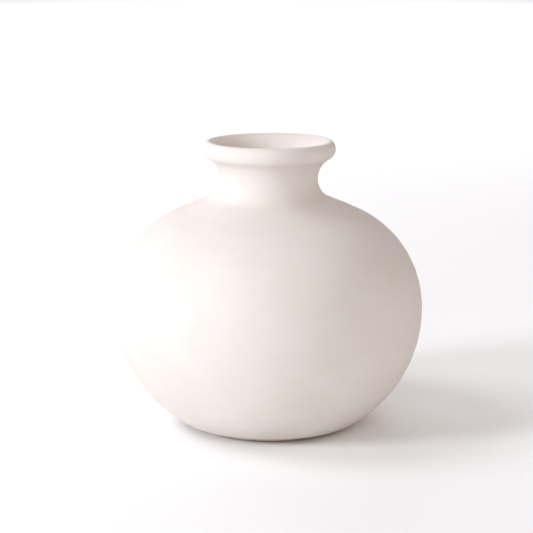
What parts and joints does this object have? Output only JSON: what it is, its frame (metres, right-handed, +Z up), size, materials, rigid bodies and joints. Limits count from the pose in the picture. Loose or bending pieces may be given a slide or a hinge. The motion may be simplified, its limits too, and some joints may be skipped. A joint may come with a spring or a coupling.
{
  "type": "bud vase",
  "caption": "Round-bellied ceramic bud vase with a narrow waisted neck, a rolled open lip, a matt glaze over a bare clay foot ring, and soft feet.",
  "frame": {"origin": "middle of the surface that the soft feet stand on", "axes": "+Z up along the vase's axis, through the mouth; X and Y level, with the soft feet between them"},
  "size_m": [0.12, 0.12, 0.1113],
  "materials": {
    "bare_clay": "unglazed, fired, fine grained",
    "matt_glaze": "matt warm white glaze, slightly mottled",
    "lining_glaze": "satin lining glaze",
    "soft_foot": "frosted soft rubber"
  },
  "bodies": {
    "root": {"clay_body": "bare_clay", "outer_glaze": "matt_glaze", "lining_glaze": "lining_glaze", "soft_foot_1": "soft_foot", "soft_foot_2": "soft_foot", "soft_foot_3": "soft_foot", "soft_foot_4": "soft_foot"}
  },
  "joints": []
}
